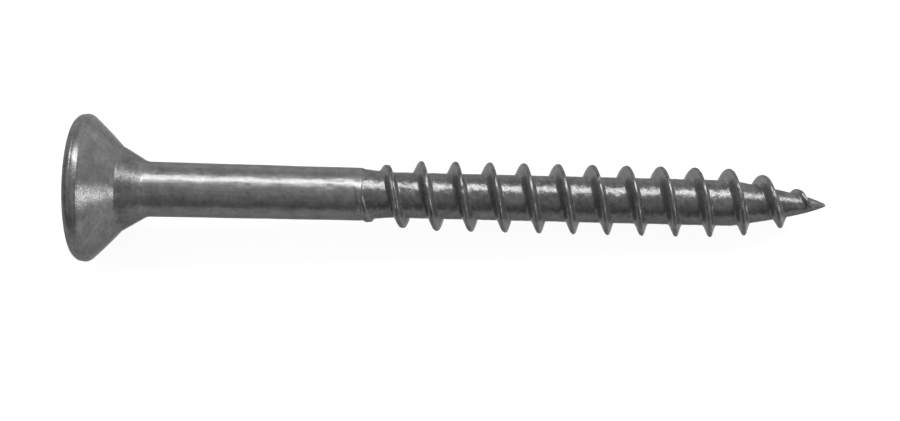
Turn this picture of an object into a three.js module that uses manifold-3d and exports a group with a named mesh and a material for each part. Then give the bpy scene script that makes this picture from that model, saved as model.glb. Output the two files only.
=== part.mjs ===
// Countersunk wood screw, 5 x 55 mm: plain shank, coarse right-hand thread and a sharp point.
// The real screw is one piece of steel. Its zones are modelled as separate closed solids
// that meet face to face, so each can be named, measured and given its own finish.
//
// Millimetres. The axis is X: the head's flat face is at x = 0 and the point at x = LENGTH.
import * as THREE from 'three';
import { mergeVertices } from 'three/addons/utils/BufferGeometryUtils.js';
import Module from 'manifold-3d';

// Driving dimensions
const LENGTH = 55;

const HEAD_RADIUS = 5.46;
const FACE_EDGE_RADIUS = 0.5;
const LAND_END = 0.95;
const LAND_EDGE_RADIUS = 0.45;
const COUNTERSINK_END = 3.25;
const COUNTERSINK_END_RADIUS = 3.16;

const NECK_END = 5.15;
const SHANK_HEAD_RADIUS = 2.03;
const NECK_BLEND_RADIUS = 1.2;

const SHANK_END = 20.9;
const SHANK_END_RADIUS = 1.94;

const RUN_IN_END = 23.3;
const ROOT_RADIUS = 1.68;

const POINT_START = 48;
const POINT_FULLNESS = 0.66;
const POINT_RINGS = 10;

const PITCH = 2.51;
const CREST_PLACE = 25.1;
const THREAD_HEIGHT = 0.91;
const THREAD_FIRST = 21.4;
const THREAD_RISE_START = 20.6;
const THREAD_FULL = 26;
const THREAD_SOFTEN_START = 43;
const THREAD_SOFTENING = 0.05;
const THREAD_FALL_START = 50;
const THREAD_GONE = 54;
const THREAD_LAST = 53.4;
const CREST_WIDTH = 0.24;
const FLANK_MIDDLE_WIDTH = 0.42;
const RIDGE_BASE_WIDTH = 1.04;
const RIDGE_SINK = 0.15;

const DRIVE_ACROSS_POINTS = 4.5;
const DRIVE_ACROSS_VALLEYS = 3.25;
const DRIVE_WALL_DEPTH = 1.9;
const DRIVE_DEPTH = 2.6;
const DRIVE_FACETS = 48;

// Facets round the head and round everything on the shank. The ridge uses the second
// number per turn as well, so that its sections fall on the core's own edges.
const HEAD_FACETS = 48;
const SHANK_FACETS = 24;

const wasm = await Module();
wasm.setup();

// Solids and meshes

function weld(geometry) {
  geometry.deleteAttribute('normal');
  geometry.deleteAttribute('uv');
  return mergeVertices(geometry);
}

function solidFrom(geometry) {
  const welded = weld(geometry);
  const corners = welded.index.array;
  const triangles = [];
  for (let i = 0; i < corners.length; i += 3) {
    const [a, b, c] = corners.slice(i, i + 3);
    if (a !== b && b !== c && c !== a) triangles.push(a, b, c);
  }
  const mesh = new wasm.Mesh({
    numProp: 3,
    vertProperties: Float32Array.from(welded.attributes.position.array),
    triVerts: Uint32Array.from(triangles),
  });
  return new wasm.Manifold(mesh);
}

function geometryFrom(solid) {
  const mesh = solid.getMesh();
  const geometry = new THREE.BufferGeometry();
  geometry.setAttribute('position', new THREE.BufferAttribute(mesh.vertProperties, 3));
  geometry.setIndex(new THREE.BufferAttribute(mesh.triVerts, 1));
  return geometry;
}

// Turns a profile of [place along X, radius] points about the X axis.
function turned(profile, facets) {
  const points = profile.map(([x, radius]) => new THREE.Vector2(radius, x));
  const geometry = new THREE.LatheGeometry(points, facets);
  geometry.rotateZ(-Math.PI / 2);
  return solidFrom(geometry);
}

// The points of an arc that rounds the corner between two others.
function roundedCorner(before, corner, after, radius, steps) {
  const middle = new THREE.Vector2(...corner);
  const toBefore = new THREE.Vector2(...before).sub(middle).normalize();
  const toAfter = new THREE.Vector2(...after).sub(middle).normalize();
  const halfAngle = Math.acos(toBefore.dot(toAfter)) / 2;
  const bisector = toBefore.clone().add(toAfter).normalize();
  const centre = middle.clone().addScaledVector(bisector, radius / Math.sin(halfAngle));
  const tangent = radius / Math.tan(halfAngle);
  const first = middle.clone().addScaledVector(toBefore, tangent).sub(centre);
  const last = middle.clone().addScaledVector(toAfter, tangent).sub(centre);
  const sweep = Math.atan2(first.cross(last), first.dot(last));
  const arc = [];
  for (let i = 0; i <= steps; i++) {
    const spoke = first.clone().rotateAround(new THREE.Vector2(), (sweep * i) / steps);
    arc.push([centre.x + spoke.x, centre.y + spoke.y]);
  }
  return arc;
}

// Head

// The drive is not a star of straight lines but six round lobes, so its radius is a wave.
function driveOutline() {
  const middle = (DRIVE_ACROSS_POINTS + DRIVE_ACROSS_VALLEYS) / 4;
  const swing = (DRIVE_ACROSS_POINTS - DRIVE_ACROSS_VALLEYS) / 4;
  const points = [];
  for (let i = 0; i < DRIVE_FACETS; i++) {
    const angle = (i / DRIVE_FACETS) * 2 * Math.PI;
    const radius = middle + swing * Math.cos(6 * angle);
    points.push(new THREE.Vector2(radius * Math.cos(angle), radius * Math.sin(angle)));
  }
  return new THREE.Shape(points);
}

function driveRecess() {
  const wall = new THREE.ExtrudeGeometry(driveOutline(), { depth: DRIVE_DEPTH + 1, bevelEnabled: false });
  wall.rotateY(Math.PI / 2);
  wall.translate(-1, 0, 0);
  const drillPoint = [
    [-1, 0],
    [-1, DRIVE_ACROSS_POINTS],
    [DRIVE_WALL_DEPTH - 1, DRIVE_ACROSS_POINTS],
    [DRIVE_WALL_DEPTH, DRIVE_ACROSS_VALLEYS / 2],
    [DRIVE_DEPTH, 0],
  ];
  return solidFrom(wall).intersect(turned(drillPoint, HEAD_FACETS));
}

function head() {
  const faceEdge = [0, HEAD_RADIUS];
  const landEnd = [LAND_END, HEAD_RADIUS];
  const countersinkEnd = [COUNTERSINK_END, COUNTERSINK_END_RADIUS];
  const profile = [
    [0, 0],
    ...roundedCorner([0, 0], faceEdge, landEnd, FACE_EDGE_RADIUS, 5),
    ...roundedCorner(faceEdge, landEnd, countersinkEnd, LAND_EDGE_RADIUS, 3),
    countersinkEnd,
    [COUNTERSINK_END, 0],
  ];
  return turned(profile, HEAD_FACETS).subtract(driveRecess());
}

// Shank, from the countersink to the thread

function neck() {
  const start = [COUNTERSINK_END, COUNTERSINK_END_RADIUS];
  const end = [NECK_END, SHANK_HEAD_RADIUS];
  const onward = [SHANK_END, SHANK_END_RADIUS];
  const blend = roundedCorner(start, end, onward, NECK_BLEND_RADIUS, 3);
  const insideNeck = blend.filter(([x]) => x < NECK_END);
  const profile = [[COUNTERSINK_END, 0], start, ...insideNeck, end, [NECK_END, 0]];
  return turned(profile, SHANK_FACETS);
}

function shank() {
  const profile = [
    [NECK_END, 0],
    [NECK_END, SHANK_HEAD_RADIUS],
    [SHANK_END, SHANK_END_RADIUS],
    [SHANK_END, 0],
  ];
  return turned(profile, SHANK_FACETS);
}

function runIn() {
  const profile = [
    [SHANK_END, 0],
    [SHANK_END, SHANK_END_RADIUS],
    [RUN_IN_END, ROOT_RADIUS],
    [RUN_IN_END, 0],
  ];
  return turned(profile, SHANK_FACETS);
}

// Threaded length and point

function threadCore() {
  const profile = [
    [RUN_IN_END, 0],
    [RUN_IN_END, ROOT_RADIUS],
    [POINT_START, ROOT_RADIUS],
    [POINT_START, 0],
  ];
  return turned(profile, SHANK_FACETS);
}

function coreRadius(x) {
  if (x < SHANK_END) return SHANK_END_RADIUS;
  if (x < RUN_IN_END) {
    const along = (x - SHANK_END) / (RUN_IN_END - SHANK_END);
    return THREE.MathUtils.lerp(SHANK_END_RADIUS, ROOT_RADIUS, along);
  }
  if (x < POINT_START) return ROOT_RADIUS;
  const left = (LENGTH - x) / (LENGTH - POINT_START);
  return ROOT_RADIUS * Math.max(left, 0) ** POINT_FULLNESS;
}

function point() {
  const profile = [[POINT_START, 0]];
  for (let i = 0; i <= POINT_RINGS; i++) {
    // Rings crowd towards the tip, where the outline turns fastest.
    const along = Math.sin((i / POINT_RINGS) * Math.PI / 2);
    const x = THREE.MathUtils.lerp(POINT_START, LENGTH, along);
    profile.push([x, coreRadius(x)]);
  }
  return turned(profile, SHANK_FACETS);
}

// The ridge grows out of the run-in, eases off near the point and fades out on it.
function ridgeHeight(x) {
  const risen = THREE.MathUtils.clamp((x - THREAD_RISE_START) / (THREAD_FULL - THREAD_RISE_START), 0, 1);
  const softened = THREAD_SOFTENING * THREE.MathUtils.smoothstep(x, THREAD_SOFTEN_START, POINT_START);
  const fallen = THREE.MathUtils.clamp((x - THREAD_FALL_START) / (THREAD_GONE - THREAD_FALL_START), 0, 1);
  return THREAD_HEIGHT * Math.sin(risen * Math.PI / 2) * (1 - softened) * (1 - fallen ** 2.3);
}

// One section of the ridge as [offset along X, radius] points, its base sunk in the core.
function ridgeSection(x) {
  const root = coreRadius(x);
  const height = ridgeHeight(x);
  const base = Math.max(Math.min(root, ROOT_RADIUS) - RIDGE_SINK, 0.1);
  const scale = Math.max(height / THREAD_HEIGHT, 0.45);
  return [
    [-RIDGE_BASE_WIDTH * scale / 2, base],
    [-FLANK_MIDDLE_WIDTH / 2, root + height * 0.45],
    [-CREST_WIDTH / 2, root + height],
    [CREST_WIDTH / 2, root + height],
    [FLANK_MIDDLE_WIDTH / 2, root + height * 0.45],
    [RIDGE_BASE_WIDTH * scale / 2, base],
  ];
}

// Sweeps the section along a right-hand helix whose crest passes +Y at CREST_PLACE.
function ridge(firstStep, lastStep) {
  const positions = [];
  for (let step = firstStep; step <= lastStep; step++) {
    const angle = (step / SHANK_FACETS) * 2 * Math.PI;
    const x = CREST_PLACE + (step / SHANK_FACETS) * PITCH;
    for (const [offset, radius] of ridgeSection(x)) {
      positions.push(x + offset, radius * Math.cos(angle), radius * Math.sin(angle));
    }
  }
  const around = 6;
  const indices = [];
  for (let step = 0; step < lastStep - firstStep; step++) {
    for (let side = 0; side < around; side++) {
      const a = step * around + side;
      const b = step * around + (side + 1) % around;
      indices.push(a, b + around, b, a, a + around, b + around);
    }
  }
  const end = (lastStep - firstStep) * around;
  for (let side = 1; side < around - 1; side++) {
    indices.push(0, side, side + 1, end, end + side + 1, end + side);
  }
  const geometry = new THREE.BufferGeometry();
  geometry.setAttribute('position', new THREE.Float32BufferAttribute(positions, 3));
  geometry.setIndex(indices);
  return solidFrom(geometry);
}

function helixStep(x) {
  return Math.round(((x - CREST_PLACE) / PITCH) * SHANK_FACETS);
}

// Assembly

function steel(name, color, roughness) {
  return new THREE.MeshStandardMaterial({ name, color, roughness, metalness: 1 });
}

const formedSteel = steel('formed_steel', 0x6e6e6e, 0.38);
const drawnSteel = steel('drawn_steel', 0x707070, 0.3);
const rolledSteel = steel('rolled_steel', 0x6c6c6c, 0.34);

const cores = { neck: neck(), shank: shank(), run_in: runIn(), thread_core: threadCore(), point: point() };
const body = wasm.Manifold.union(Object.values(cores));
const mainRidge = ridge(helixStep(THREAD_FIRST), helixStep(POINT_START));
const pointRidge = ridge(helixStep(POINT_START), helixStep(THREAD_LAST));

const screw = new THREE.Group();
screw.name = 'wood_screw';

function add(name, solid, material) {
  const mesh = new THREE.Mesh(geometryFrom(solid), material);
  mesh.name = name;
  screw.add(mesh);
}

add('head', head(), formedSteel);
add('neck', cores.neck, formedSteel);
add('shank', cores.shank, drawnSteel);
add('run_in', cores.run_in, rolledSteel);
add('thread_core', cores.thread_core, rolledSteel);
add('thread', mainRidge.subtract(body), rolledSteel);
add('point', cores.point, rolledSteel);
add('point_thread', pointRidge.subtract(body), rolledSteel);

export default screw;
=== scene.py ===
import math

import bmesh
import bpy
import numpy as np
from mathutils import Matrix, Vector


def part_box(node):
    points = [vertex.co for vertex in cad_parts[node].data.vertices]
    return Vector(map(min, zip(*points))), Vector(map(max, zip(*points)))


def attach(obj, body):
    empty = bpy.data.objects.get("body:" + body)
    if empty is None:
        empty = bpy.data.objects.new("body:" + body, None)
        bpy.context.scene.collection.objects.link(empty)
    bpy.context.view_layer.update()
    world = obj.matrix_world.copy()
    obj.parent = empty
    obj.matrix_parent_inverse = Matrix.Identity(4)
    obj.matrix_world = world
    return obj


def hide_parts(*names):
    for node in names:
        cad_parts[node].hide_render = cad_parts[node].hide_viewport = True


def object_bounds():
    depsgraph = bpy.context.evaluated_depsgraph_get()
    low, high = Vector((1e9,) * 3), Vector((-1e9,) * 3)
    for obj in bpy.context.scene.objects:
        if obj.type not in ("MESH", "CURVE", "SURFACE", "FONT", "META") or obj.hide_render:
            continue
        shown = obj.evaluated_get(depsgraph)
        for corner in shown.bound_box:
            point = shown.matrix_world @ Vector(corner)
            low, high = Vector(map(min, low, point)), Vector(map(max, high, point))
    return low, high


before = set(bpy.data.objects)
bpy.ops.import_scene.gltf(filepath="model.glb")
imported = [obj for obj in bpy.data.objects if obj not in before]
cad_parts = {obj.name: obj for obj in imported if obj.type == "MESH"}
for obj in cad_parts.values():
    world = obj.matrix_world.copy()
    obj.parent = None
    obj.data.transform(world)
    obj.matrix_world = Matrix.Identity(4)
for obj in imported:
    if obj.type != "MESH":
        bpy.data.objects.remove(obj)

MM = 0.001

# Sizes read from the frame
CAD_LOW, CAD_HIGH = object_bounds()
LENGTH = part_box("point")[1].x
HEAD_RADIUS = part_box("head")[1].z
COUNTERSINK_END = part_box("head")[1].x
COUNTERSINK_END_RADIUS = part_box("neck")[1].z
NECK_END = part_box("neck")[1].x
NECK_END_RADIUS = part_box("shank")[1].z
SHANK_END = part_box("shank")[1].x
SHANK_END_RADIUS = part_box("run_in")[1].z
RUN_IN_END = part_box("run_in")[1].x
ROOT_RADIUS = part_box("thread_core")[1].z
POINT_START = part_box("thread_core")[1].x
CREST_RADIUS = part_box("thread")[1].z

# Head details
FACE_EDGE_RADIUS = 0.52 * MM
LAND_END = 0.95 * MM
LAND_EDGE_RADIUS = 0.58 * MM
LAND_INSET = 0.015 * MM
LAND_TAPER = 0.07 * MM
LAND_TAPER_END = LAND_END - 0.15 * MM
LAND_GROOVE_DEPTH = 0.015 * MM
LAND_GROOVE_WIDTH = 0.05 * MM
LAND_GROOVE_PLACE = LAND_END - 0.38 * MM
CONE_BULGE = 0.05 * MM
COUNTERSINK_BLEND = 0.5 * MM
NECK_BLEND = 0.9 * MM
DRIVE_ACROSS_POINTS = 4.5 * MM
DRIVE_ACROSS_VALLEYS = 3.25 * MM
DRIVE_WALL_DEPTH = 1.9 * MM
DRIVE_DEPTH = 2.6 * MM
DRIVE_FLOOR_STEEPNESS = 0.7
DRIVE_FLOOR_CORNER = 0.12 * MM
DRIVE_LIP = 0.14 * MM

# Thread details
PITCH = 2.51 * MM
CREST_PLACE = 25.1 * MM
SHOULDER_DROP = 0.05 * MM
SHOULDER_WIDTH = 0.2 * MM
RUN_IN_CURVE = 1.4
ROLLED_BLEND = 0.3 * MM
THREAD_RISE_START = 20.6 * MM
THREAD_FULL = 26 * MM
THREAD_SOFTEN_START = 43 * MM
THREAD_SOFTENING = 0.05
THREAD_FALL_START = 50 * MM
THREAD_GONE = 54 * MM
THREAD_FALL_CURVE = 2.3
THREAD_TIP_DRIFT = 0.2 * MM
THREAD_DRIFT_START = 49.5 * MM
THREAD_DRIFT_END = 52.5 * MM
CREST_HALF_WIDTH = 0.09 * MM
CREST_CROWN = 0.05
FIRST_CREST_HALF_WIDTH = 0.15 * MM
FIRST_CRESTS_START = 22.5 * MM
FIRST_CRESTS_END = 25 * MM
FLANK_REACH_HEAD_SIDE = 0.52 * MM
FLANK_REACH_POINT_SIDE = 0.31 * MM
LOWEST_FLANK_REACH = 0.45
POINT_FULLNESS = 0.66

# Wear: each layer of unevenness is a height, a wavelength and a seed
BODY_STRETCH = np.array([0.3, 1, 1])
BODY_UNEVENNESS = ((0.004 * MM, 1.3 * MM, 31), (0.0018 * MM, 0.42 * MM, 32))
ROLLED_STRETCH = np.array([1, 0.7, 0.7])
ROLLED_UNEVENNESS = ((0.0065 * MM, 0.5 * MM, 42), (0.003 * MM, 0.25 * MM, 43))
DENT_WIDTHS = (0.06 * MM, 0.2 * MM)
DENT_DEPTH_SHARE = 0.1
SEAM_WIDTH = 0.04 * MM
SEAM_DEPTH = 0.02 * MM
FIRST_SEAM_EXTRA = 0.06 * MM
NICK_SPACING = 0.6 * MM
NICK_SEED = 41
NICK_RARITY = 0.4
NICK_DEPTH = 0.04 * MM
WORN_FROM_HEIGHT = 0.5 * MM
BURR_START = LENGTH - 1.8 * MM
BURR_FULL = LENGTH - 0.8 * MM
BURR_TWIST_HEIGHT = 0.015 * MM
BURR_TWIST_PER_MM = 2.2
BURR_TWIST_TURN = 1.4
BURR_UNEVENNESS = ((0.003 * MM, 0.3 * MM, 44),)
BURR_CORE = 0.3 * MM
TIP_RADIUS = 0.02 * MM
TIP_CUT = 0.06 * MM

# Mesh fineness
COLUMNS = 144
CONE_RINGS = 48
NECK_RINGS = 30
SHANK_RINGS = 160
STEPS_PER_PITCH = 28
CREST_CROWDING = 0.62


# Relief shared by every piece

def waves(points, wavelength, seed, count=28):
    """A smooth random field over points, about -1 to 1, with detail of one wavelength."""
    chance = np.random.default_rng(seed)
    directions = chance.normal(size=(count, 3))
    directions /= np.linalg.norm(directions, axis=1)[:, None]
    pace = 2 * math.pi / wavelength * chance.uniform(0.7, 1.4, count)
    phase = chance.uniform(0, 2 * math.pi, count)
    angles = points @ (directions * pace[:, None]).T + phase
    return np.cos(angles).sum(axis=1) / math.sqrt(count)


def unevenness(points, layers):
    """The height that those layers of waves have together at each point."""
    return sum(height * waves(points, wavelength, seed) for height, wavelength, seed in layers)


def scatter_dents(low, high, count, seed):
    """Places, turns, widths and stretches of small round knocks between two places on X."""
    chance = np.random.default_rng(seed)
    dents = []
    for _ in range(count):
        place, turn = chance.uniform(low, high), chance.uniform(0, 2 * math.pi)
        dents.append((place, turn, chance.uniform(*DENT_WIDTHS), chance.uniform(0.7, 1.4, 3)))
    return dents


def dent_depth(points, scattered):
    """How deep those knocks cut in at each point."""
    depth = np.zeros(len(points))
    for place, turn, width, stretch in scattered:
        centre = on_axis(place, core_radius(place), turn)
        gap = (((points - centre) * stretch) ** 2).sum(axis=1)
        near = gap < (3 * width) ** 2
        depth[near] += width * DENT_DEPTH_SHARE * np.exp(-gap[near] / (2 * width ** 2))
    return depth


def on_axis(x, radius, turn):
    """Points at places x along the axis, at that radius and turn about it."""
    x, radius, turn = np.broadcast_arrays(x, radius, turn)
    return np.stack([x, radius * np.cos(turn), radius * np.sin(turn)], axis=-1)


# Meshes

def smooth_sides(mesh):
    """Shades every face smooth except the flat ends, which face along the axis."""
    for face in mesh.polygons:
        face.use_smooth = abs(face.normal.x) < 0.9999
    return mesh


def piece_from(name, mesh, slot, material, *nodes):
    """Puts a finished mesh in the scene as the piece that stands for those CAD nodes."""
    mesh.materials.append(material)
    piece = bpy.data.objects.new(name, mesh)
    bpy.context.scene.collection.objects.link(piece)
    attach(piece, "root")
    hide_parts(*nodes)
    return piece


def mesh_from_rings(name, rings):
    """A closed mesh through rings of points, each end closed on the middle of its ring."""
    columns = len(rings[0])
    points = [tuple(p) for ring in rings for p in ring]
    faces = []
    for lower in range(0, (len(rings) - 1) * columns, columns):
        for i in range(columns):
            j = (i + 1) % columns
            faces.append((lower + i, lower + j, lower + columns + j, lower + columns + i))
    first_middle, last_middle = len(points), len(points) + 1
    points += [tuple(rings[0].mean(axis=0)), tuple(rings[-1].mean(axis=0))]
    last = (len(rings) - 1) * columns
    for i in range(columns):
        j = (i + 1) % columns
        faces.append((first_middle, j, i))
        faces.append((last_middle, last + i, last + j))
    mesh = bpy.data.meshes.new(name)
    mesh.from_pydata(points, [], faces)
    face_outwards(mesh)
    return mesh


def face_outwards(mesh):
    """Turns every face of a closed mesh outwards."""
    shape = bmesh.new()
    shape.from_mesh(mesh)
    bmesh.ops.recalc_face_normals(shape, faces=shape.faces)
    if shape.calc_volume(signed=True) < 0:
        bmesh.ops.reverse_faces(shape, faces=shape.faces)
    shape.to_mesh(mesh)
    shape.free()


def rounded_corner(before, corner, after, radius, steps):
    """Points of the arc that rounds the corner between two other profile points."""
    before, corner, after = (np.array(p, float) for p in (before, corner, after))
    to_before = (before - corner) / np.linalg.norm(before - corner)
    to_after = (after - corner) / np.linalg.norm(after - corner)
    half = math.acos(to_before @ to_after) / 2
    bisector = (to_before + to_after) / np.linalg.norm(to_before + to_after)
    centre = corner + bisector * radius / math.sin(half)
    start = corner + to_before * radius / math.tan(half) - centre
    end = corner + to_after * radius / math.tan(half) - centre
    across = start[0] * end[1] - start[1] * end[0]
    sweep = math.atan2(across, start @ end)
    arc = []
    for step in range(steps + 1):
        c, s = math.cos(sweep * step / steps), math.sin(sweep * step / steps)
        arc.append(tuple(centre + (c * start[0] - s * start[1], s * start[0] + c * start[1])))
    return arc


# Head, neck and shank

def drive_radius(turn):
    """Six round lobes: a wave about the middle radius of the drive."""
    middle = (DRIVE_ACROSS_POINTS + DRIVE_ACROSS_VALLEYS) / 4
    swing = (DRIVE_ACROSS_POINTS - DRIVE_ACROSS_VALLEYS) / 4
    return middle + swing * np.cos(6 * turn)


def drive_rings(turn):
    """Rings from the bottom of the recess, up its wall and over its rounded lip."""
    outline = drive_radius(turn)
    steepest = (DRIVE_DEPTH - DRIVE_WALL_DEPTH) / (DRIVE_ACROSS_VALLEYS / 2)
    rise = steepest * DRIVE_FLOOR_STEEPNESS
    rings = []
    for share in (0.12, 0.3, 0.5, 0.7, 0.85, 0.95):
        radius = outline * share
        rings.append(on_axis(DRIVE_DEPTH - radius * rise, radius, turn))
    corner = DRIVE_DEPTH - outline * rise
    wall_bottom = corner - DRIVE_FLOOR_CORNER
    rings.append(on_axis(corner - DRIVE_FLOOR_CORNER / 3, outline * 0.985, turn))
    rings.append(on_axis(wall_bottom, outline, turn))
    for share in (0.75, 0.5, 0.25):
        rings.append(on_axis(wall_bottom * share + DRIVE_LIP * (1 - share), outline, turn))
    for angle in np.radians((0, 22.5, 45, 67.5, 90)):
        place = DRIVE_LIP * (1 - math.sin(angle))
        rings.append(on_axis(place, outline + DRIVE_LIP * (1 - math.cos(angle)), turn))
    return rings


def head_rings(turn):
    """Rings from the lip of the drive, over the face and rim, to the end of the countersink."""
    rings = []
    rim, land_end = (0, HEAD_RADIUS), (LAND_END, HEAD_RADIUS)
    edge = rounded_corner((0, 0), rim, land_end, FACE_EDGE_RADIUS, 10)
    lip = drive_radius(turn) + DRIVE_LIP
    for share in (0.12, 0.3, 0.5, 0.7, 0.88):
        rings.append(on_axis(0, lip + (edge[0][1] - lip) * share, turn))
    cone_x = np.linspace(edge[-1][0], COUNTERSINK_END, CONE_RINGS)[1:]
    outline = edge + [(x, float(core_radius(x))) for x in cone_x]
    for x, radius in outline:
        points = on_axis(x, radius, turn)
        raised = body_relief(points) * min(1, radius / HEAD_RADIUS * 4 * x / FACE_EDGE_RADIUS)
        rings.append(on_axis(x, radius + raised, turn))
    return rings


def head_mesh():
    """The head with its drive recess, closed by a flat disc where the countersink ends."""
    turn = np.linspace(0, 2 * math.pi, COLUMNS, endpoint=False)
    mesh = mesh_from_rings("head", drive_rings(turn) + head_rings(turn))
    return shade_as_surface(mesh, COUNTERSINK_END - 0.01 * MM)


def turned_mesh(name, low, high, rings):
    """The unthreaded surface between two places on X, as a closed mesh."""
    turn = np.linspace(0, 2 * math.pi, COLUMNS, endpoint=False)
    surface = []
    for x in np.linspace(low, high, rings):
        surface.append(on_axis(x, screw_radius(np.full(COLUMNS, x), turn), turn))
    return shade_as_surface(mesh_from_rings(name, surface))


# Thread

def blend(x, start, end):
    """0 before start, 1 after end, smooth between."""
    t = np.clip((x - start) / (end - start), 0, 1)
    return t * t * (3 - 2 * t)


def plain_outline():
    """Profile points of the body from the rim's land to the start of the thread."""
    corners = [
        (0, HEAD_RADIUS),
        (LAND_END, HEAD_RADIUS),
        (COUNTERSINK_END, COUNTERSINK_END_RADIUS),
        (NECK_END, NECK_END_RADIUS),
        (SHANK_END, SHANK_END_RADIUS),
    ]
    points = [(0, HEAD_RADIUS)]
    for i, rounding in enumerate((LAND_EDGE_RADIUS, COUNTERSINK_BLEND, NECK_BLEND)):
        points += rounded_corner(corners[i], corners[i + 1], corners[i + 2], rounding, 12)
    outline = np.array(points + [corners[-1]])
    cone_x = np.linspace(LAND_END + LAND_EDGE_RADIUS, COUNTERSINK_END - LAND_EDGE_RADIUS, 12)
    cone_radius = np.interp(cone_x, outline[:, 0], outline[:, 1])
    outline = np.vstack([outline, np.stack([cone_x, cone_radius], axis=1)])
    outline = outline[np.argsort(outline[:, 0])]
    along = np.clip((outline[:, 0] - LAND_END) / (COUNTERSINK_END - LAND_END), 0, 1)
    outline[:, 1] += CONE_BULGE * 4 * along * (1 - along)
    return outline


OUTLINE = plain_outline()


def core_radius(x):
    """Radius of the body without its ridge: outline, shoulder, run-in, root and point."""
    run_in = np.clip((x - SHANK_END) / (RUN_IN_END - SHANK_END), 0, 1)
    run_in = 1 - (1 - run_in) ** RUN_IN_CURVE
    shoulder = SHOULDER_DROP * blend(x, SHANK_END, SHANK_END + SHOULDER_WIDTH) * (1 - run_in)
    radius = np.interp(x, OUTLINE[:, 0], OUTLINE[:, 1]) + (ROOT_RADIUS - SHANK_END_RADIUS) * run_in
    radius = radius - shoulder
    left = np.clip((LENGTH - x) / (LENGTH - POINT_START), 0, 1)
    return radius * left ** POINT_FULLNESS


def ridge_height(x):
    """Height of the thread over the core where its crest is at that place."""
    full = CREST_RADIUS - ROOT_RADIUS
    risen = np.clip((x - THREAD_RISE_START) / (THREAD_FULL - THREAD_RISE_START), 0, 1)
    softened = THREAD_SOFTENING * blend(x, THREAD_SOFTEN_START, POINT_START)
    fallen = np.clip((x - THREAD_FALL_START) / (THREAD_GONE - THREAD_FALL_START), 0, 1)
    return full * np.sin(risen * math.pi / 2) * (1 - softened) * (1 - fallen ** THREAD_FALL_CURVE)


def ridge_shape(offset, crest, height):
    """Share of the ridge's height at an offset from its crest line, with both flanks eased."""
    reach = np.where(offset < 0, FLANK_REACH_HEAD_SIDE, FLANK_REACH_POINT_SIDE)
    risen = height / (CREST_RADIUS - ROOT_RADIUS)
    reach = reach * (LOWEST_FLANK_REACH + (1 - LOWEST_FLANK_REACH) * risen)
    beyond = np.clip((np.abs(offset) - crest) / reach, 0, 1)
    crown = 1 - CREST_CROWN * np.clip(np.abs(offset) / crest, 0, 1) ** 2
    return crown * (1 - beyond * beyond * (3 - 2 * beyond))


BODY_DENTS = scatter_dents(LAND_END, SHANK_END, 130, 12)
ROOT_DENTS = scatter_dents(SHANK_END, LENGTH, 110, 43)


def body_relief(points):
    """Height of the head's, neck's and shank's unevenness over their plain outline."""
    x = points[:, 0]
    groove = LAND_GROOVE_DEPTH * np.exp(-((x - LAND_GROOVE_PLACE) / LAND_GROOVE_WIDTH) ** 2)
    taper = LAND_TAPER * np.clip(1 - x / LAND_TAPER_END, 0, 1)
    inset = LAND_INSET * (1 - blend(x, LAND_END, COUNTERSINK_END))
    uneven = unevenness(points * BODY_STRETCH, BODY_UNEVENNESS)
    return uneven - groove - inset - taper - dent_depth(points, BODY_DENTS)


def root_relief(points, core):
    """Height of the rolled surface's unevenness, less of it where the core is thin."""
    uneven = unevenness(points * ROLLED_STRETCH, ROLLED_UNEVENNESS)
    return (uneven - dent_depth(points, ROOT_DENTS)) * np.clip(core / ROOT_RADIUS, 0, 1)


def crest_wear(points, offset, shape, early):
    """Depth of the seam that the rolls leave along the crest, and of its nicks."""
    seam = np.exp(-(offset / SEAM_WIDTH) ** 2) * (SEAM_DEPTH + FIRST_SEAM_EXTRA * early)
    nicks = np.clip(waves(points, NICK_SPACING, NICK_SEED) - NICK_RARITY, 0, 1)
    return seam + nicks * NICK_DEPTH * shape


def tip_burr(points, turn, core):
    """Height of the twisted, ragged end that is left where the blank is pinched off."""
    x = points[:, 0]
    twist = np.cos(2 * turn - (x - LENGTH) / MM * BURR_TWIST_PER_MM + BURR_TWIST_TURN)
    height = twist * BURR_TWIST_HEIGHT + unevenness(points, BURR_UNEVENNESS)
    return height * blend(x, BURR_START, BURR_FULL) * np.clip(core / BURR_CORE, 0, 1)


def screw_radius(x, turn):
    """Radius of the finished surface at a place along the axis and a turn about it."""
    core = core_radius(x)
    points = on_axis(x, core, turn)
    drifted = x - THREAD_TIP_DRIFT * blend(x, THREAD_DRIFT_START, THREAD_DRIFT_END)
    turns = (drifted - CREST_PLACE) / PITCH - turn / (2 * math.pi)
    offset = (turns - np.round(turns)) * PITCH
    crest_x = x - offset
    early = 1 - blend(crest_x, FIRST_CRESTS_START, FIRST_CRESTS_END)
    crest = CREST_HALF_WIDTH + (FIRST_CREST_HALF_WIDTH - CREST_HALF_WIDTH) * early
    height = ridge_height(crest_x)
    shape = ridge_shape(offset, crest, height)

    threaded = blend(x, SHANK_END, SHANK_END + ROLLED_BLEND)
    relief = body_relief(points) * (1 - threaded) + root_relief(points, core) * (1 - shape) * threaded
    wear = crest_wear(points, offset, shape, early) * np.clip(height / WORN_FROM_HEIGHT, 0, 1)
    radius = core + height * shape + relief - wear
    return np.maximum(radius + tip_burr(points, turn, core), TIP_RADIUS)


def surface_normals(points):
    """Outward unit normals of the finished surface at points on it."""
    x, turn = points[:, 0], np.arctan2(points[:, 2], points[:, 1])
    step, turn_step = 0.01 * MM, 0.004
    radius = screw_radius(x, turn)
    along = (screw_radius(x + step, turn) - screw_radius(x - step, turn)) / (2 * step)
    around = screw_radius(x, turn + turn_step) - screw_radius(x, turn - turn_step)
    slope = around / (2 * turn_step) / radius
    c, s = np.cos(turn), np.sin(turn)
    normals = np.stack([-along, c + slope * s, s - slope * c], axis=-1)
    return normals / np.linalg.norm(normals, axis=1)[:, None]


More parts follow.
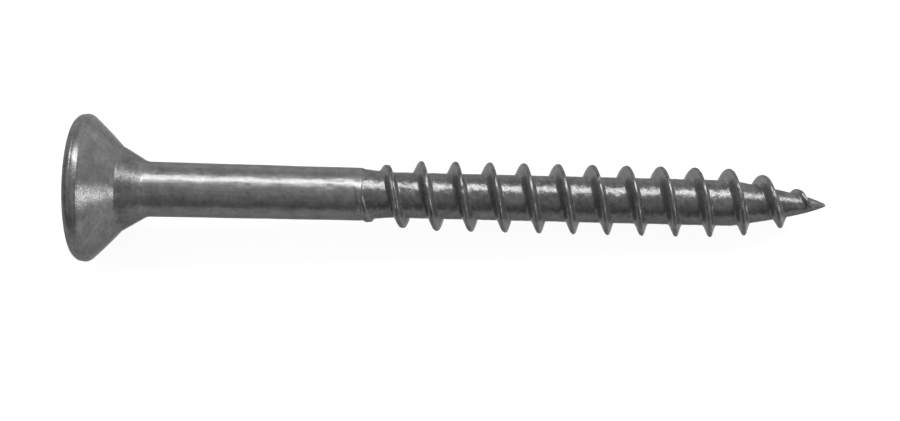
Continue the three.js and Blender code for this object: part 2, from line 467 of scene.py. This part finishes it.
def wound_grid():
    """A grid wound along the helix so that one line of it runs along the crest.
    Column i is at one turn about the axis; going past the last column moves on by a pitch."""
    steps = np.arange(STEPS_PER_PITCH) / STEPS_PER_PITCH
    warped = steps - CREST_CROWDING * np.sin(2 * math.pi * steps) / (2 * math.pi)
    first = math.floor((SHANK_END - CREST_PLACE) / PITCH) - 1
    last = math.ceil((LENGTH - CREST_PLACE) / PITCH) + 1
    rows = np.concatenate([warped + pitch for pitch in range(first, last)])
    column = np.arange(COLUMNS) / COLUMNS
    x = CREST_PLACE + PITCH * (rows[None, :] + column[:, None])
    turn = np.broadcast_to(2 * math.pi * column[:, None], x.shape)
    return x, turn


def wound_faces(rows):
    """Faces between neighbouring columns, the last of which meets the first a pitch on."""
    faces = []
    for i in range(COLUMNS):
        wrap = i == COLUMNS - 1
        shift = STEPS_PER_PITCH if wrap else 0
        here, there = i * rows, 0 if wrap else (i + 1) * rows
        for j in range(rows - 1 - shift):
            faces.append((here + j, here + j + 1, there + j + 1 + shift, there + j + shift))
    return faces


def cut_between(shape, low, high):
    """Keeps what lies between two places on X and closes both ends on the axis."""
    for place, side in ((low, -1), (high, 1)):
        everything = shape.verts[:] + shape.edges[:] + shape.faces[:]
        plane = {"plane_co": (place, 0, 0), "plane_no": (side, 0, 0)}
        bmesh.ops.bisect_plane(shape, geom=everything, clear_outer=True, dist=1e-7, **plane)
        open_edges = [edge for edge in shape.edges if edge.is_boundary]
        middle = shape.verts.new((place, 0, 0))
        for edge in open_edges:
            if all(abs(v.co.x - place) < 1e-6 for v in edge.verts):
                shape.faces.new((edge.verts[0], edge.verts[1], middle))


def threaded_mesh(name, low, high):
    """The stretch of the wound surface between two places on X, as a closed mesh."""
    x, turn = wound_grid()
    inside = np.clip(x, SHANK_END, LENGTH)
    radius = screw_radius(inside.ravel(), turn.ravel())
    points = on_axis(x.ravel(), radius, turn.ravel())
    mesh = bpy.data.meshes.new(name)
    mesh.from_pydata([tuple(p) for p in points], [], wound_faces(x.shape[1]))
    shape = bmesh.new()
    shape.from_mesh(mesh)
    cut_between(shape, low, high)
    loose = [v for v in shape.verts if not v.link_faces]
    bmesh.ops.delete(shape, geom=loose, context="VERTS")
    shape.to_mesh(mesh)
    shape.free()
    face_outwards(mesh)
    return mesh


def shade_as_surface(mesh, start=0):
    """Gives sides from start on their exact normals, so that neighbours shade as one."""
    smooth_sides(mesh)
    points = np.array([v.co for v in mesh.vertices], float)
    exact = surface_normals(points)
    normals = [tuple(corner.vector) for corner in mesh.corner_normals]
    for face in mesh.polygons:
        for loop, vertex in zip(face.loop_indices, face.vertices):
            if face.use_smooth and points[vertex][0] >= start:
                normals[loop] = tuple(exact[vertex])
    mesh.normals_split_custom_set(normals)
    return mesh


# Materials

METALLIC = 0.7
EDGE_TINT = (0.35, 0.35, 0.35, 1)
# Painted light: lightens the steel's tone on the thread's steep flanks.
FLANK_PAINTED_LIGHT = 0.075
FLANK_STEEPNESS = (0.55, 0.85)
# Painted shade: darkens the steel's tone on the neck.
NECK_PAINTED_SHADE = 0.03
MOTTLE_SCALE = 0.9
BLOTCH_SCALE = 3.0
GRAIN_SCALE = 9.0
PATCHY_RANGE = (0.8, 1.5)
UNEVEN_RANGE = (0.5, 1.1)
DRAWN_MARK_SCALE = (0.25, 7, 7)
TURNING_MARK_SCALE = 5.0
ROLLING_MARK_SCALE = (5, 1.6, 1.6)


def add(tree, kind, **values):
    """A new node of that kind, with those settings."""
    node = tree.nodes.new(kind)
    for name, value in values.items():
        setattr(node, name, value)
    return node


def math_node(tree, operation, a, b=None):
    """The result of one sum on sockets or numbers."""
    node = add(tree, "ShaderNodeMath", operation=operation)
    for socket, value in zip(node.inputs, (a, b)):
        if value is None:
            continue
        if isinstance(value, (int, float)):
            socket.default_value = value
        else:
            tree.links.new(value, socket)
    return node.outputs[0]


def scaled_place(tree, scale):
    """Object coordinates in millimetres, times a scale on each axis."""
    place = add(tree, "ShaderNodeTexCoord")
    mapping = add(tree, "ShaderNodeMapping")
    mapping.inputs["Scale"].default_value = [s / MM for s in scale]
    tree.links.new(place.outputs["Object"], mapping.inputs["Vector"])
    return mapping.outputs["Vector"]


def around_place(tree):
    """Place along the axis and distance from it, for marks that run round the screw."""
    place = add(tree, "ShaderNodeTexCoord")
    split = add(tree, "ShaderNodeSeparateXYZ")
    tree.links.new(place.outputs["Object"], split.inputs[0])
    y2 = math_node(tree, "MULTIPLY", split.outputs["Y"], split.outputs["Y"])
    z2 = math_node(tree, "MULTIPLY", split.outputs["Z"], split.outputs["Z"])
    radius = math_node(tree, "SQRT", math_node(tree, "ADD", y2, z2))
    joined = add(tree, "ShaderNodeCombineXYZ")
    tree.links.new(math_node(tree, "MULTIPLY", split.outputs["X"], 1 / MM), joined.inputs["X"])
    tree.links.new(math_node(tree, "MULTIPLY", radius, 1 / MM), joined.inputs["Y"])
    return joined.outputs["Vector"]


def noise(tree, vector, scale, detail=3.0, roughness=0.55):
    """Smooth random values about 0.5, with features of 1 / scale."""
    node = add(tree, "ShaderNodeTexNoise")
    node.inputs["Scale"].default_value = scale
    node.inputs["Detail"].default_value = detail
    node.inputs["Roughness"].default_value = roughness
    tree.links.new(vector, node.inputs["Vector"])
    return node.outputs["Fac"]


def ramp(tree, value, low, high, low_to, high_to):
    """The value, taken from low..high to low_to..high_to and held at the ends."""
    node = add(tree, "ShaderNodeMapRange")
    node.inputs["From Min"].default_value = low
    node.inputs["From Max"].default_value = high
    node.inputs["To Min"].default_value = low_to
    node.inputs["To Max"].default_value = high_to
    tree.links.new(value, node.inputs["Value"])
    return node.outputs["Result"]


def grey(tree, value):
    """A neutral colour from one number."""
    joined = add(tree, "ShaderNodeCombineColor")
    for socket in joined.inputs:
        tree.links.new(value, socket)
    return joined.outputs["Color"]


def painted_flank_light(tree):
    """Painted light: how much lighter the tone is made on the steep sides of the thread."""
    geometry = add(tree, "ShaderNodeNewGeometry")
    split = add(tree, "ShaderNodeSeparateXYZ")
    tree.links.new(geometry.outputs["Normal"], split.inputs[0])
    steepness = math_node(tree, "ABSOLUTE", split.outputs["X"])
    return ramp(tree, steepness, *FLANK_STEEPNESS, 0.0, FLANK_PAINTED_LIGHT)


def painted_neck_shade(tree):
    """Painted shade: how much darker the steel's tone is made on the neck."""
    place = add(tree, "ShaderNodeTexCoord")
    split = add(tree, "ShaderNodeSeparateXYZ")
    tree.links.new(place.outputs["Object"], split.inputs[0])
    x = split.outputs["X"]
    start, full = COUNTERSINK_END - 0.2 * MM, COUNTERSINK_END + 0.4 * MM
    darkening = ramp(tree, x, start, full, 0.0, -NECK_PAINTED_SHADE)
    return math_node(tree, "ADD", darkening, ramp(tree, x, NECK_END - MM, NECK_END, 0.0, NECK_PAINTED_SHADE))


def steel(name, marks, tone, gloss, grain_height, blotch_share, shade=None):
    """Bare steel: metal with mottled tone, uneven gloss, fine grain and tool marks.
    Tone is the range of its reflectance, gloss that of its roughness, and shade adds painted
    light and shade to the tone at some places."""
    material = bpy.data.materials.new(name)
    material.use_nodes = True
    tree = material.node_tree
    tree.nodes.clear()
    output = add(tree, "ShaderNodeOutputMaterial")
    shader = add(tree, "ShaderNodeBsdfPrincipled")
    shader.inputs["Metallic"].default_value = METALLIC
    shader.inputs["Specular Tint"].default_value = EDGE_TINT
    tree.links.new(shader.outputs["BSDF"], output.inputs["Surface"])

    plain = scaled_place(tree, (1, 1, 1))
    mottle = noise(tree, plain, MOTTLE_SCALE, 4)
    blotch = noise(tree, plain, BLOTCH_SCALE, 3)
    grain = noise(tree, plain, GRAIN_SCALE, 5, 0.65)
    scores = marks(tree)

    patchy = math_node(tree, "ADD", mottle, math_node(tree, "MULTIPLY", scores, 0.5))
    patchy = math_node(tree, "ADD", patchy, math_node(tree, "MULTIPLY", blotch, 0.8))
    reflectance = ramp(tree, patchy, *PATCHY_RANGE, *tone)
    # Painted light and shade, where given, are added to the tone.
    if shade:
        reflectance = math_node(tree, "ADD", reflectance, shade(tree))
    tree.links.new(grey(tree, reflectance), shader.inputs["Base Color"])

    uneven = math_node(tree, "ADD", grain, math_node(tree, "MULTIPLY", mottle, 0.6))
    tree.links.new(ramp(tree, uneven, *UNEVEN_RANGE, *gloss), shader.inputs["Roughness"])

    height = math_node(tree, "ADD", grain, scores)
    height = math_node(tree, "ADD", height, math_node(tree, "MULTIPLY", blotch, blotch_share))
    bump = add(tree, "ShaderNodeBump")
    bump.inputs["Strength"].default_value = 1.0
    bump.inputs["Distance"].default_value = grain_height
    tree.links.new(height, bump.inputs["Height"])
    tree.links.new(bump.outputs["Normal"], shader.inputs["Normal"])
    return material


def drawn_marks(tree):
    """Long fine lines along the axis, left by the wire die."""
    return noise(tree, scaled_place(tree, DRAWN_MARK_SCALE), 1.0, 3)


def turning_marks(tree):
    """Fine rings round the axis, left by the heading die."""
    return noise(tree, around_place(tree), TURNING_MARK_SCALE, 3)


def rolling_marks(tree):
    """Short smears round the axis, left by the thread rolls."""
    return noise(tree, scaled_place(tree, ROLLING_MARK_SCALE), 1.0, 4)


def floor_paper():
    """Paper that glows white under the screw and falls off to grey far away."""
    material = bpy.data.materials.new("floor_paper")
    material.use_nodes = True
    tree = material.node_tree
    shader = tree.nodes["Principled BSDF"]
    shader.inputs["Roughness"].default_value = 0.9
    tone = noise(tree, scaled_place(tree, (1, 1, 1)), 2.0, 2)
    tree.links.new(grey(tree, ramp(tree, tone, 0, 1, *FLOOR_TONE)), shader.inputs["Base Color"])
    shader.inputs["Emission Color"].default_value = (1, 1, 1, 1)
    place = add(tree, "ShaderNodeTexCoord")
    distance = add(tree, "ShaderNodeVectorMath", operation="LENGTH")
    tree.links.new(place.outputs["Object"], distance.inputs[0])
    reach = FLOOR_BRIGHT_TO, FLOOR_DIM_FROM
    glow = ramp(tree, distance.outputs["Value"], *reach, FLOOR_GLOW, FLOOR_FAR_GLOW)
    tree.links.new(glow, shader.inputs["Emission Strength"])
    return material


# Camera, floor and light

CAMERA_ELEVATION = math.radians(75)
CAMERA_ROLL = math.radians(1.38)
CAMERA_DISTANCE = 117.4 * MM
CAMERA_LENS = 63.9
AIM_BEFORE_MIDDLE = 0.13 * MM
AIM_BELOW_AXIS = 1.04 * MM
FLOOR_GLOW = 0.93
FLOOR_FAR_GLOW = 0.42
FLOOR_BRIGHT_TO = 55 * MM
FLOOR_DIM_FROM = 450 * MM
FLOOR_RADIUS = 1.2
FLOOR_TONE = (0.09, 0.1)
FLOOR_GAP = 0.01 * MM
SOFTBOX_DISTANCE = 0.3
KEY_DIRECTION_ANGLE = math.radians(123)
KEY_ALONG = 0.078
KEY_SIZE = (0.44, 0.1)
KEY_POWER = 1.85
SIDE_DIRECTION = (1, -0.25, 0.27)
SIDE_SIZE = (0.05, 0.075)
SIDE_POWER = 0.24
ROOM_LOW = 0.17
ROOM_OVERHEAD = 0.8
ROOM_BEHIND = 0.32
WINDOW_DIRECTION = (0.8, 0.6, 0)
WINDOW_GLOW = 0.5


def towards(elevation):
    """Unit vector from the screw towards the front, at that angle above the horizon."""
    return Vector((0, -math.cos(elevation), math.sin(elevation)))


def add_camera():
    """The photographer's view: from above and in front, turned a little about its line of sight."""
    camera = bpy.data.objects.new("camera", bpy.data.cameras.new("camera"))
    camera.data.lens = CAMERA_LENS
    camera.data.sensor_width = 36
    camera.data.clip_start = 5 * MM
    back = towards(CAMERA_ELEVATION)
    right = Vector((1, 0, 0))
    up = back.cross(right)
    turned_right = right * math.cos(CAMERA_ROLL) + up * math.sin(CAMERA_ROLL)
    turned_up = back.cross(turned_right)
    aim = (CAD_LOW + CAD_HIGH) / 2 - turned_up * AIM_BELOW_AXIS - right * AIM_BEFORE_MIDDLE
    place = aim + back * CAMERA_DISTANCE
    axes = Matrix((turned_right, turned_up, back)).transposed().to_4x4()
    camera.matrix_world = Matrix.Translation(place) @ axes
    bpy.context.scene.collection.objects.link(camera)
    bpy.context.scene.camera = camera


def floor_line():
    """Where the head's rim rests, and the floor's slope from there to a crest near the point."""
    rim = Vector((LAND_END - LAND_EDGE_RADIUS, 0, -HEAD_RADIUS))
    crest = Vector((POINT_START - PITCH / 2, 0, -CREST_RADIUS))
    return rim, math.atan2(crest.z - rim.z, crest.x - rim.x)


def add_floor():
    """A round floor that touches the rim and a crest, since that is how the screw lies."""
    rim, slope = floor_line()
    mesh = bpy.data.meshes.new("floor")
    shape = bmesh.new()
    bmesh.ops.create_circle(shape, cap_ends=True, segments=96, radius=FLOOR_RADIUS)
    shape.to_mesh(mesh)
    shape.free()
    mesh.materials.append(floor_paper())
    floor = bpy.data.objects.new("floor", mesh)
    floor.rotation_euler = (0, -slope, 0)
    along = Vector((math.cos(slope), 0, math.sin(slope)))
    down = Vector((math.sin(slope), 0, -math.cos(slope)))
    floor.location = rim + along * LENGTH / 2 + down * FLOOR_GAP
    bpy.context.scene.collection.objects.link(floor)


def add_softbox(name, direction, along, size, power):
    """A rectangular light in that direction from the screw, facing it, then moved along X."""
    light = bpy.data.lights.new(name, "AREA")
    light.shape = "RECTANGLE"
    light.size, light.size_y = size
    light.energy = power
    softbox = bpy.data.objects.new(name, light)
    aim = (CAD_LOW + CAD_HIGH) / 2
    back = Vector(direction).normalized()
    side = Vector((1, 0, 0)) if abs(back.x) < 0.9 else Vector((0, 1, 0))
    up = back.cross(side).normalized()
    side = up.cross(back)
    axes = Matrix((side, up, back)).transposed().to_4x4()
    place = aim + back * SOFTBOX_DISTANCE + Vector((along, 0, 0))
    softbox.matrix_world = Matrix.Translation(place) @ axes
    bpy.context.scene.collection.objects.link(softbox)


def add_world():
    """A grey room, lighter overhead and at the back, with a window beyond the point."""
    world = bpy.data.worlds.new("room")
    bpy.context.scene.world = world
    world.use_nodes = True
    tree = world.node_tree
    background = tree.nodes["Background"]
    place = add(tree, "ShaderNodeTexCoord")
    split = add(tree, "ShaderNodeSeparateXYZ")
    tree.links.new(place.outputs["Generated"], split.inputs[0])
    overhead = ramp(tree, split.outputs["Z"], 0.4, 1.0, ROOM_LOW, ROOM_OVERHEAD)
    behind = ramp(tree, split.outputs["Y"], 0.0, 1.0, 0.0, ROOM_BEHIND)
    facing = add(tree, "ShaderNodeVectorMath", operation="DOT_PRODUCT")
    tree.links.new(place.outputs["Generated"], facing.inputs[0])
    facing.inputs[1].default_value = WINDOW_DIRECTION
    window = ramp(tree, facing.outputs["Value"], 0.6, 0.95, 0.0, WINDOW_GLOW)
    room = math_node(tree, "ADD", math_node(tree, "ADD", overhead, behind), window)
    tree.links.new(grey(tree, room), background.inputs["Color"])
    background.inputs["Strength"].default_value = 1.0


def add_body_pieces():
    """Head, neck and shank: each stands for one CAD node."""
    # The neck's steel gets painted shade through shade.
    formed = steel(
        "formed_steel", turning_marks, tone=(0.08, 0.175), gloss=(0.2, 0.34),
        grain_height=0.01 * MM, blotch_share=1.0, shade=painted_neck_shade,
    )
    drawn = steel(
        "drawn_steel", drawn_marks, tone=(0.085, 0.165), gloss=(0.26, 0.38),
        grain_height=0.0025 * MM, blotch_share=1.0,
    )
    neck = turned_mesh("screw_neck", COUNTERSINK_END, NECK_END, NECK_RINGS)
    shank = turned_mesh("screw_shank", NECK_END, SHANK_END, SHANK_RINGS)
    piece_from("screw_head", head_mesh(), "formed_steel", formed, "head")
    piece_from("screw_neck", neck, "formed_steel", formed, "neck")
    piece_from("screw_shank", shank, "drawn_steel", drawn, "shank")


def add_threaded_pieces():
    """Run-in, thread and point: core and ridge are one surface, so one piece stands for both."""
    # The thread's steep flanks get painted light through shade.
    rolled = steel(
        "rolled_steel", rolling_marks, tone=(0.06, 0.138), gloss=(0.14, 0.35),
        grain_height=0.017 * MM, blotch_share=0.6, shade=painted_flank_light,
    )
    zones = (
        ("screw_run_in", SHANK_END, RUN_IN_END, ("run_in",)),
        ("screw_thread", RUN_IN_END, POINT_START, ("thread_core", "thread")),
        ("screw_point", POINT_START, LENGTH - TIP_CUT, ("point", "point_thread")),
    )
    for name, zone_low, zone_high, nodes in zones:
        zone = shade_as_surface(threaded_mesh(name, zone_low, zone_high))
        piece_from(name, zone, "rolled_steel", rolled, *nodes)


add_camera()
bpy.context.scene.view_settings.view_transform = "Standard"
add_body_pieces()
add_threaded_pieces()
add_floor()
add_softbox("key", towards(KEY_DIRECTION_ANGLE), KEY_ALONG, KEY_SIZE, KEY_POWER)
add_softbox("side", SIDE_DIRECTION, 0, SIDE_SIZE, SIDE_POWER)
add_world()
